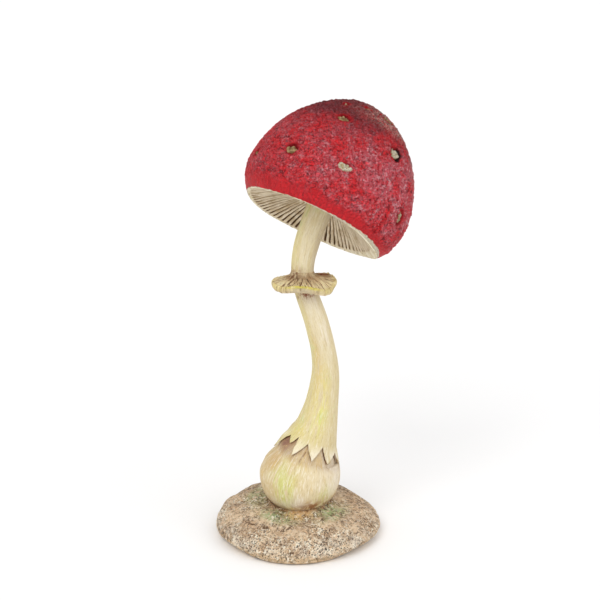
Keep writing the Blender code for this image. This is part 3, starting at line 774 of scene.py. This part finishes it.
turn = whole_turn(GILLS * GILL_COLUMNS)
radius = np.linspace(GILL_INNER, FLESH_EDGE, 70)[:, None]
share = np.clip((radius - GILL_INNER) / (GILL_OUTER - GILL_INNER), 0, 1)
edges = 0.9 + GILL_ARCH * (1 - share**1.2) - 0.9 * rising(GILL_OUTER, FLESH_EDGE, radius)
sway = around(16, turn, 0.3 * radius)
phase = turn / TURN * GILLS + 0.16 * lumps(sway, 2.4, 51) + 0.07 * lumps(sway, 0.9, 52)
gill = np.floor(phase)
place = np.abs(phase - gill - 0.5) * 2
each = scatter(np.stack([gill % GILLS, gill * 0, gill * 0], axis=-1), 53)
by_stem = bell(turn, 92, 46)
gills_end = 42.2 - 3.4 * bell(turn, 5, 42) - 1.2 * bell(turn, 325, 40)
# Painted shade: the brown between the gills is darker on the side where the stem stands nearest.
stem_shade = 0.74 + 0.26 * by_stem + 0 * radius
widest = 0.68 - 0.16 * by_stem * rising(18, 34, radius) - 0.2 * bell(turn, 165, 34)
blade = rising(widest + 0.2, widest, place)
short = (gill % 2 == 1) * rising(15 + 4 * each + 4, 15 + 4 * each, radius + 0 * turn)
blade = blade * (1 - short)
fading = rising(gills_end, gills_end - 1.6, radius)
depth = GILL_DEPTH * rising(8.8, 15, radius) * rising(gills_end, gills_end - 5, radius)
depth = depth * (0.85 + 0.3 * each)
hang = edges + depth * (1 - blade) + 0.5 * (each - 0.5) * rising(14, 20, radius) * rising(41, 36, radius)
points = in_cap(radius, turn, hang + rim_lift(turn) * share)
slot_depth = (1 - blade) * rising(8, 14, radius) * fading * stem_shade
proud_lip = 0.15 + 0.7 * bell(turn, 335, 30)
lip = through(LIP_LINE, 4)
lip_radius = lip[1:, :1]
lip_height = lip[1:, 1:]
ragged = lumps(in_cap(lip_radius, turn, lip_height), 2.2, 54)
lip_height = lip_height * np.where(lip_height < 0, proud_lip, 1) + rim_lift(turn) + 0.16 * ragged
lip_points = in_cap(lip_radius + 0.12 * ragged, turn, lip_height)
hub = in_cap(np.array([[4.0], [11.2]]), turn, np.array([[CEILING + 0.3], [CEILING + 0.2]]))
back_line = np.array(FLESH_BACK)
back = in_cap(back_line[:, :1], turn, back_line[:, 1:])
points = np.concatenate([hub, points, lip_points, back])
zero_hub = np.zeros((2, turn.shape[1]))
zero_lip = np.zeros((len(lip_points) + len(back), turn.shape[1]))
slot_depth = np.concatenate([zero_hub + 0.6, slot_depth, zero_lip])
on_lip = np.concatenate([zero_hub, rising(gills_end - 1.2, gills_end, radius), zero_lip + 1])
gill_turn = phase / GILLS * TURN
grain = around(16, gill_turn, 0.12 * radius)
grain = np.concatenate([grain[:2], grain, np.repeat(grain[-1:], len(zero_lip), axis=0)])

flesh = Finish("cream_gill_flesh", (226, 212, 188))
here = flesh.here()
grain_way = flesh.carried("grain", "Vector")
slot_share = flesh.carried("slot_depth")
bare = flesh.carried("on_lip")
streak = flesh.noise(grain_way, 700, 3, 0.6)
flesh.coat((202, 184, 154), streak.above(0.40, 0.62))
flesh.coat((172, 146, 106), flesh.noise(here, 7, 3).above(0.50, 0.66) * 0.6)
flesh.coat((146, 114, 74), slot_share.above(0.08, 0.30) * 0.95)
flesh.coat((78, 52, 26), slot_share.above(0.30, 0.62) * 0.95)
cream = flesh.layer(colour(232, 222, 198), colour(214, 200, 164), flesh.noise(here, 4, 3).above(0.42, 0.62))
specks = flesh.noise(here, 1.3, 3, 0.6).above(0.55, 0.62) * flesh.noise(here, 8, 2).above(0.42, 0.56)
cream = flesh.layer(cream, colour(120, 88, 50), specks * 0.8)
flesh.coat(cream, bare)
flesh_finish = flesh.done(0.7, flesh.relief(streak, 0.25), shine=0.25)

carried = {"slot_depth": slot_depth, "on_lip": on_lip, "grain": grain}
skin("cream_gills", points, flesh_finish, "gills", carried)

# Cap
# The red dome, cast with a leathery, finely cracked skin that is smooth only along its rim. It is painted
# crimson, darkened with wine and black towards the crown, and dry-brushed with pink and white. Painted
# shade darkens its creases and the bare floors of its pits, and one pit holds a black painted shadow.

CAP_RADIUS = 51.1
CAP_WIDEST = 18.0
CAP_CROWN = 60.4
CAP_CROWN_POWER = 1.85
CAP_TOP = CAP_WIDEST + CAP_CROWN
NEAR_TOP = 70.0  # where the outline turns level, and its points lie closer
CAP_LOWER_REACH = 34.5
CAP_LINING = [(43.3, 0.55), (41.8, 0.6), (39.8, 5.2), (32.9, 13.0), (22.9, 18.6), (12.2, 21.0), (0.5, 21.0)]
CAP_COLUMNS = 620
CAP_ROWS = 290
DENT_DEPTH = 0.35
BRUSH_DEPTH = 0.06
PIT_DEPTH = 1.7
FLAKES_THICK = 1.5
WARTS = [
    (-156.0, 19.3, 4.5, 6.0, 0.2, 0.25),
    (-121.6, 25.5, 6.5, 7.0, 0.7, 0.3),
    (-82.7, 27.9, 6.4, 4.4, 1.2, 1.3),
    (-25.2, 20.5, 6.2, 8.5, 0.8, 0.6),
    (-102.2, 56.3, 8.0, 6.5, 0.7, 0.3),
    (-47.3, 51.8, 8.5, 8.0, 0.85, 0.7),
    (-116.0, 68.1, 4.5, 4.0, 0.3, 0.5),
    (-88.8, 71.2, 6.0, 3.0, 0.5, 0.2),
    (-53.9, 70.6, 7.0, 3.5, 0.9, 0.4),
    (24, 26, 7.0, 5.5, 0.8, 0.5),
    (57, 22, 6.5, 5.5, 0.7, 0.3),
    (91, 27, 7.5, 6.0, 0.9, 0.7),
    (125, 21, 6.0, 5.0, 0.7, 0.3),
    (160, 26, 7.0, 6.0, 0.9, 0.5),
    (32, 52, 7.0, 6.0, 0.8, 0.6),
    (95, 56, 6.5, 5.5, 0.8, 0.4),
    (150, 51, 7.5, 5.5, 0.9, 0.7),
    (90, 71, 6.5, 4.5, 0.6, 0.4),
]  # turn, height, width, height of the pit, how full it is of flakes, and how pale they are
# The flakes' place in a pit and half their size, as shares of its width and height.
FLAKES_USUAL = (0.0, -0.13, 0.46, 0.36)
FLAKES = {3: (-0.10, 0.02, 0.46, 0.36), 5: (-0.12, 0.0, 0.46, 0.30)}
SHADOWED_WART = 5  # a black painted shadow lies in its pit at the right of its flakes
BUTTON_TURN = -38.9  # of a small round mark that is pressed into the skin low on the right
BUTTON_UP = 8.8
BUTTON_RADIUS = 2.1
BUTTON_GROOVE = 0.5


def cap_radius(height):
    """The cap's outer radius at these heights above its mouth."""
    rise = height - CAP_WIDEST
    low = CAP_RADIUS * np.sqrt(np.clip(1 - (rise / CAP_LOWER_REACH) ** 2, 0, 1))
    share = np.clip(rise / CAP_CROWN, 0, 1)
    return np.where(rise < 0, low, CAP_RADIUS * (1 - share**CAP_CROWN_POWER) ** (1 / CAP_CROWN_POWER))


to_top = np.sin(np.linspace(0, math.pi / 2, 900))[1:]
fine_height = np.concatenate([np.linspace(0, NEAR_TOP, 1500), NEAR_TOP + (CAP_TOP - NEAR_TOP) * to_top])
fine_radius = cap_radius(fine_height)
gone = np.concatenate([[0], np.cumsum(np.hypot(np.diff(fine_radius), np.diff(fine_height)))])
steps = np.linspace(0, gone[-1] - 0.25, CAP_ROWS)
radius = np.interp(steps, gone, fine_radius)
height = np.interp(steps, gone, fine_height)
slope = np.stack([np.gradient(height, steps), -np.gradient(radius, steps)])
slope = slope / np.linalg.norm(slope, axis=0)
turn = whole_turn(CAP_COLUMNS)
radius = radius[:, None]
height = height[:, None]
plain = in_cap(radius, turn, height + rim_lift(turn) * rising(24, 0, height))
outward = [slope[0][:, None] * np.cos(turn), slope[0][:, None] * np.sin(turn), slope[1][:, None] + 0 * turn]
outward = np.stack(outward, axis=-1) @ cap_frame
smooth_edge = 1.0 + 3.0 * bell(turn, 265, 30) + 3.5 * bell(turn, 215, 32) + 2.0 * bell(turn, 60, 40)
leather = 0.15 + 0.85 * rising(smooth_edge, smooth_edge + 6.0, height + 2.2 * lumps(plain, 6, 60))
leather = leather * rising(0.2, 1.5, height)
bent = plain + 0.55 * np.stack([lumps(plain, 1.5, 57 + i) for i in range(3)], axis=-1)
worms = np.abs(lumps(bent, 1.9, 62))
crease_shade = 1 - rising(0.0, 0.22, worms)
knobs = 0.65 * lumps(plain, 1.05, 63) + 0.35 * lumps(plain, 2.2, 64)
dents = lumps(plain, 11, 65)
relief = leather * (0.75 * knobs + 0.7 * np.minimum(worms, 0.5) - 0.3 * crease_shade - 0.1)
relief = relief + DENT_DEPTH * dents * rising(0, 12, height)
brush = around(70, turn, 0.2 * height)
relief = relief + BRUSH_DEPTH * lumps(brush, 2, 66) * (1 - leather)

flakes = 0.6 * lumps(plain, 1.2, 68) + 0.4 * lumps(plain, 0.7, 69)
pit = np.zeros(relief.shape)
filled = np.zeros(relief.shape)
pale = np.zeros(relief.shape)
wall = np.zeros(relief.shape)
gone_here = steps[:, None]
for number, (wart_turn, wart_height, width, tall, full, pallor) in enumerate(WARTS):
    beside = np.radians(past(turn, wart_turn)) * radius
    up = gone_here - np.interp(wart_height, fine_height, gone)
    ragged = 1 + 0.20 * lumps(plain, 2.4, 70 + number) + 0.15 * lumps(plain, 1.1, 90 + number)
    away = np.sqrt((beside / (width / 2)) ** 2 + (up / (tall / 2)) ** 2) / ragged
    pit = np.maximum(pit, rising(1.15, 0.75, away))
    wall = np.maximum(wall, rising(1.6, 1.05, away))
    right_by, up_by, wide, high = FLAKES.get(number, FLAKES_USUAL)
    flake_away = np.hypot((beside - right_by * width) / (wide * width), (up - up_by * tall) / (high * tall))
    flake = rising(1.12, 0.90, flake_away / (ragged * (1 + 0.2 * flakes) * (0.2 + full)))
    filled = np.maximum(filled, flake)
    # the black painted shadow in one pit
    if number == SHADOWED_WART:
        cavity_shadow = rising(1.4, 1.0, away) * rising(0.04 * width, 0.17 * width, beside)
    pale = np.maximum(pale, flake * pallor)
button = np.hypot(np.radians(past(turn, BUTTON_TURN)) * radius, gone_here - BUTTON_UP)
button_ring = hump(button, BUTTON_RADIUS, BUTTON_GROOVE)
relief = relief * (1 - pit) - PIT_DEPTH * pit + (FLAKES_THICK + 0.9 * flakes) * filled
relief = relief - BUTTON_GROOVE * button_ring + 0.3 * (button < BUTTON_RADIUS - 0.4)
outside = plain + outward * relief[..., None]
lining = np.array(CAP_LINING[::-1])
inner = in_cap(lining[:, :1], turn, lining[:, 1:])
points = np.concatenate([inner, outside])

crimson = Finish("leathery_crimson_cap", (236, 45, 53))
here = crimson.here()
rough_share = crimson.carried("leather")
up_share = crimson.carried("up")
brushed = crimson.carried("brushed")
blot = crimson.noise(here, 9, 4, 0.6, 0.3)
mottle = crimson.noise(here, 1.5, 5, 0.75, 0.5)
grit = crimson.noise(here, 0.8, 3, 0.65, 0.8)
wrinkle = abs(crimson.noise(here, 1.5, 3, 0.6, 1.2) - 0.5)
vein = abs(crimson.noise(here, 1.1, 2, 0.5, 0.6) - 0.5)
crimson.coat((214, 43, 52), blot.above(0.42, 0.60))
crimson.coat((244, 44, 52), mottle.above(0.51, 0.60) * 0.7)
crimson.coat((142, 24, 34), mottle.above(0.47, 0.38) * rough_share * 0.65)
shoulder = crimson.carried("right_crown")
wine = (blot * 0.4 + up_share * 0.7 + mottle * 0.6).above(0.82, 1.10) * (1 - 0.55 * shoulder)
crimson.coat((98, 24, 30), wine * 0.9)
# Painted shade in the creases of the skin.
crimson.coat((94, 14, 22), crimson.carried("crease_shade").above(0.2, 0.9) * rough_share * 0.75)
crimson.coat((70, 12, 18), vein.above(0.03, 0.0) * rough_share * mottle.above(0.64, 0.48) * 0.85)
dusting = brushed * blot.above(0.34, 0.62)
crimson.coat((230, 116, 130), dusting * mottle.above(0.38, 0.58) * 0.72)
ridge = wrinkle.above(0.05, 0.012) * grit.above(0.42, 0.58)
crimson.coat((242, 160, 168), ridge * (0.25 + 0.75 * dusting) * rough_share * 0.85)
fleck = (grit * 0.7 + crimson.carried("peak") * 0.45).above(0.60, 0.74)
crimson.coat((244, 190, 196), fleck * (0.08 + 0.92 * dusting) * rough_share * 0.8)
strokes = crimson.noise(crimson.carried("strokes", "Vector"), 1800, 3, 0.6)
smooth_red = crimson.layer(colour(228, 38, 46), colour(188, 32, 42), strokes.above(0.44, 0.62))
crimson.coat(smooth_red, (1 - rough_share) * 0.7)
crimson.coat((30, 24, 20), shoulder * (mottle * 0.75 + grit * 0.25).above(0.485, 0.455) * 0.95)
crimson.coat((230, 208, 194), shoulder * (wrinkle.above(0.06, 0.01) * 0.3 + grit).above(0.60, 0.68) * 0.75)
crimson.coat((226, 202, 198), crimson.carried("sheen") * wrinkle.above(0.08, 0.02) * 0.7)
crimson.coat((214, 30, 40), crimson.carried("button") * 0.8)
crimson.coat((196, 16, 28), crimson.carried("wall") * 0.75)
# Painted shade on the floors of the pits that the flakes leave bare.
crimson.coat((112, 16, 24), crimson.carried("pit") * 0.8)
# Painted shadow: black at the right of one pit's flakes.
crimson.coat((26, 14, 14), crimson.carried("cavity_shadow") * 0.95)
flake_share = crimson.carried("flake")
dull = crimson.layer(colour(146, 112, 70), colour(200, 166, 116), flake_share.above(0.42, 0.72))
bright = crimson.layer(colour(226, 204, 158), colour(250, 242, 218), flake_share.above(0.36, 0.62))
gold = crimson.layer(dull, bright, crimson.carried("pale").above(0.2, 0.9))
gold = crimson.layer(gold, colour(96, 70, 44), grit.above(0.42, 0.34) * 0.7)
crimson.coat(gold, crimson.carried("filled").above(0.3, 0.6))
crimson.coat((244, 230, 204), crimson.carried("cream_edge").above(0.4, 0.6))
crimson.coat((110, 70, 44), crimson.carried("edge_dirt") * grit.above(0.50, 0.62))
folds = crimson.relief(wrinkle.above(0.0, 0.10), 0.4, crimson.relief(mottle, 0.5))
bumps = crimson.relief(grit, 0.7, folds)
cap_finish = crimson.done(0.48 + 0.2 * grit * rough_share, bumps, shine=0.18)

right = 0.30 + 0.70 * bell(turn, -35, 62) + 0 * height
swath = rising(3, 12, height) * rising(66, 40, height) * right
swath = np.maximum(swath, 0.65 * bell(turn, -95, 32) * hump(height, 15, 9))
shade_behind = 0.8 * bell(turn, 110, 70) * hump(height, 24, 16)
cream_line = 0.05 + 1.5 * bell(turn, 332, 28) + 0.4 * lumps(plain, 1.9, 89)
edge_dirt = bell(turn, 325, 32) * hump(height, cream_line, 0.6)
carried = {
    "crease_shade": crease_shade,
    "leather": leather,
    "up": height / 78 * (1 - 0.22 * bell(turn, -35, 50)),
    "peak": 0.5 + 0.5 * knobs,
    "brushed": np.maximum(swath, shade_behind),
    "wall": wall * (1 - filled),
    "pit": pit * (1 - filled),
    "cavity_shadow": cavity_shadow,
    "button": button_ring,
    "filled": filled,
    "pale": pale,
    "flake": 0.5 + 0.5 * flakes,
    "right_crown": bell(turn, -48, 42) * rising(60, 68, height),
    "sheen": bell(turn, 2, 17) * rising(34, 52, height) * rising(74, 66, height),
    "cream_edge": rising(cream_line + 0.35, cream_line - 0.35, height),
    "edge_dirt": edge_dirt,
}
bare = np.zeros(inner.shape[:2])
carried = {label: np.concatenate([bare, values]) for label, values in carried.items()}
carried["cream_edge"][: len(inner)] = 1
carried["strokes"] = np.concatenate([inner * 0, brush])
skin("crimson_cap", points, cap_finish, "cap", carried)

# Studio
# A plain white floor in even white light, with a broad soft light from high at the left front and a weaker
# one from the right, as in a product photograph.

EYE = (0.93, -1170.0, 571.0)
LOOK_DOWN = 19.7
LENS = 124.74
FLOOR_DROP = 0.0002  # metres, so that the floor isn't in the plane of the mound's underside
AIR_STRENGTH = 0.74


def soft_light(name, turn, lift, softness, strength, tint):
    """Even light from one side: its turn from the right towards the back, lift and softness in degrees."""
    light = bpy.data.lights.new(name, "SUN")
    light.angle = math.radians(softness)
    light.energy = strength
    light.color = tint
    lamp = bpy.data.objects.new(name, light)
    lamp.location = (0, 0, 1)
    lamp.rotation_euler = (0, math.radians(90 - lift), math.radians(turn))
    bpy.context.scene.collection.objects.link(lamp)


soft_light("key_light", -115, 48, 36, 1.05, (1.0, 0.995, 0.985))
soft_light("fill_light", -35, 35, 50, 0.5, (0.99, 0.995, 1.0))

paper = Finish("white_studio_floor", (254, 254, 254))
paper.coat((252, 252, 252), paper.noise(paper.here(), 400, 2))
paper_finish = paper.done(0.9)
floor_mesh = bpy.data.meshes.new("studio_floor")
floor_mesh.from_pydata([(-6, -3, 0), (6, -3, 0), (6, 9, 0), (-6, 9, 0)], [], [(0, 1, 2, 3)])
floor_mesh.materials.append(paper_finish)
floor = bpy.data.objects.new("studio_floor", floor_mesh)
floor.location.z = -FLOOR_DROP
bpy.context.scene.collection.objects.link(floor)

world = bpy.data.worlds.new("studio_air")
world.use_nodes = True
air = world.node_tree.nodes["Background"]
air.inputs["Color"].default_value = (1.0, 1.0, 1.0, 1.0)
air.inputs["Strength"].default_value = AIR_STRENGTH
bpy.context.scene.world = world
bpy.context.scene.view_settings.view_transform = "Standard"

camera_data = bpy.data.cameras.new("camera")
camera_data.sensor_width = 36
camera_data.lens = LENS
camera = bpy.data.objects.new("camera", camera_data)
camera.location = tuple(value * MM for value in EYE)
camera.rotation_euler = (math.radians(90 - LOOK_DOWN), 0, 0)
bpy.context.scene.collection.objects.link(camera)
bpy.context.scene.camera = camera
